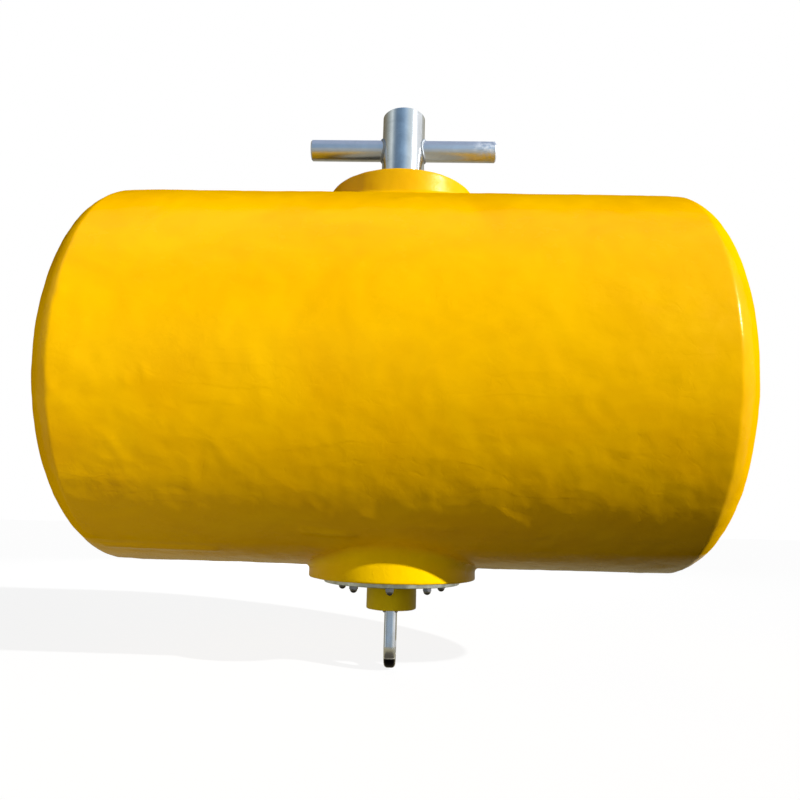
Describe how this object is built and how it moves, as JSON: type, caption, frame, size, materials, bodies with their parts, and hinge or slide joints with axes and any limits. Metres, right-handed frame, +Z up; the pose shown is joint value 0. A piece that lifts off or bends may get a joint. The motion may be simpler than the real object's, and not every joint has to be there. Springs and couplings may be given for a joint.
{
  "type": "foam mooring buoy",
  "caption": "Horizontal foam mooring buoy: crowned yellow float on a steel tension tube, with a cross bar for hawsers above and a shackle eye below.",
  "frame": {"origin": "where the float's axis crosses the tension tube's axis, taken as the working waterline", "axes": "+X along the float's length, +Z up the tension tube towards the cross bar, -Y towards the picture's camera"},
  "size_m": [2, 1.1998, 1.867],
  "materials": {
    "float_skin": "glossy sprayed elastomer skin",
    "collar_skin": "glossy sprayed elastomer skin",
    "stub_skin": "satin sprayed elastomer skin",
    "tube_steel": "polished stainless steel",
    "bar_steel": "polished stainless steel",
    "weld_steel": "weld metal, brushed",
    "flange_steel": "galvanised",
    "eye_steel": "satin, with a dark lower end"
  },
  "bodies": {
    "root": {"foam_float": "float_skin", "upper_collar": "collar_skin", "lower_collar": "collar_skin", "tension_tube": "tube_steel", "tube_cap": "tube_steel", "tube_end_plate": "stub_skin", "cross_bar": "bar_steel", "bar_welds": "weld_steel", "flange_plate": "flange_steel", "stub_sleeve": "stub_skin", "mooring_eye": "eye_steel", "eye_welds": "weld_steel"}
  },
  "joints": []
}
